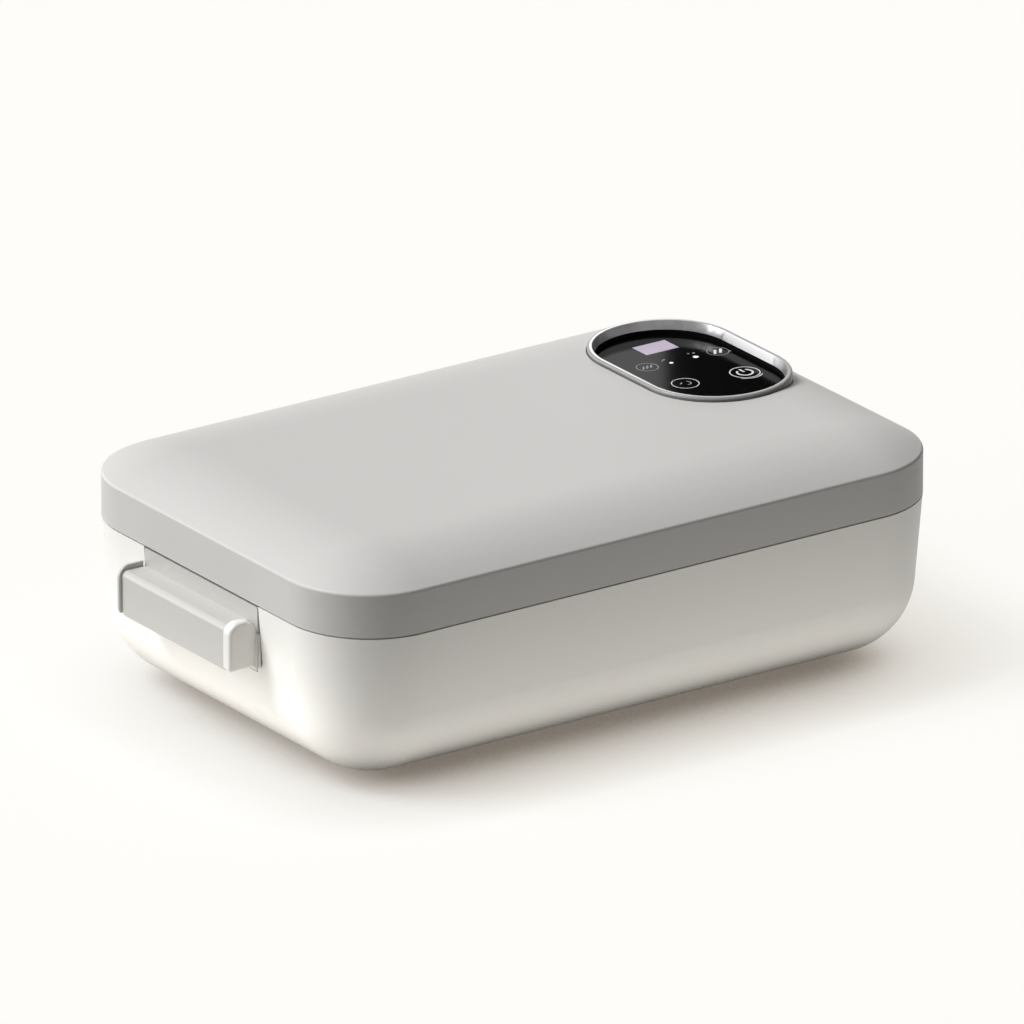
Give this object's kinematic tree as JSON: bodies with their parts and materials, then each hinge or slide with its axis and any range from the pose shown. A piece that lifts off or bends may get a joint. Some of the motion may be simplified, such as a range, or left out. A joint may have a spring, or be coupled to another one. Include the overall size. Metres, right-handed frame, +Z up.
{
  "type": "electric lunch box",
  "caption": "Flat electric lunch box with a domed hinged lid, end latch, inset touch panel, heated well with lift-out food trays and a rear power inlet.",
  "frame": {"origin": "centre of the box in plan, on the plane that the feet stand on", "axes": "+Z up, +X from the latch end to the hinge end, +Y towards the side the panel's marks point to"},
  "size_m": [0.2584, 0.16, 0.08],
  "materials": {
    "white_shell": "satin moulded",
    "white_plate": "fine texture",
    "foot_rubber": "matte",
    "screw_steel": "zinc plated",
    "well_aluminium": "anodised satin",
    "heater_aluminium": "cast",
    "element_case": "extruded",
    "fuse_case": "drawn",
    "sensor_brass": "turned",
    "fibre_pad": "felted",
    "board_laminate": "solder mask",
    "component_black": "moulded",
    "inlet_black": "moulded",
    "pin_brass": "plated",
    "lead_sleeve": "sleeved",
    "contact_brass": "gold flashed",
    "tray_steel": "brushed",
    "pin_steel": "ground",
    "spring_steel": "drawn",
    "lid_grey": "fine satin",
    "white_liner": "satin",
    "seal_silicone": "matte translucent",
    "ribbon_plastic": "flat",
    "bezel_aluminium": "diamond cut satin",
    "panel_glass": "polished black",
    "display_lilac": "lit window",
    "led_lens": "clear",
    "latch_grey": "fine satin",
    "white_caps": "satin moulded"
  },
  "bodies": {
    "base": {"base_shell": "white_shell", "base_plate": "white_plate", "feet": "foot_rubber", "base_screws": "screw_steel", "heating_well": "well_aluminium", "heating_plate": "heater_aluminium", "heater_elements": "element_case", "thermal_fuse": "fuse_case", "temperature_sensor": "sensor_brass", "insulation_pad": "fibre_pad", "power_board": "board_laminate", "board_parts": "component_black", "power_inlet": "inlet_black", "inlet_pins": "pin_brass", "heater_leads": "lead_sleeve", "lid_contacts": "contact_brass", "food_tray": "tray_steel", "side_tray": "tray_steel", "hinge_pin": "pin_steel", "latch_pin": "pin_steel", "latch_spring": "spring_steel"},
    "lid": {"lid_cover": "lid_grey", "lid_liner": "white_liner", "lid_gasket": "seal_silicone", "lid_screws": "screw_steel", "lid_catch": "pin_steel", "contact_pads": "contact_brass", "lid_cable": "ribbon_plastic", "bezel": "bezel_aluminium", "touch_panel": "panel_glass", "display_window": "display_lilac", "display_module": "component_black", "control_board": "board_laminate", "control_parts": "component_black", "touch_springs": "spring_steel", "indicator_leds": "led_lens"},
    "latch": {"latch_lever": "latch_grey", "latch_end_caps": "white_caps"}
  },
  "joints": [
    {"name": "lid_hinge", "type": "hinge", "parent": "base", "child": "lid", "pos_m": [0.1244, 0, 0.05565], "axis": [0, 1, 0], "range_deg": [0, 100]},
    {"name": "latch_pivot", "type": "hinge", "parent": "base", "child": "latch", "pos_m": [-0.1166, 0, 0.0505], "axis": [0, 1, 0], "range_deg": [0, 12], "stiffness_Nm_per_rad": 0.08}
  ]
}
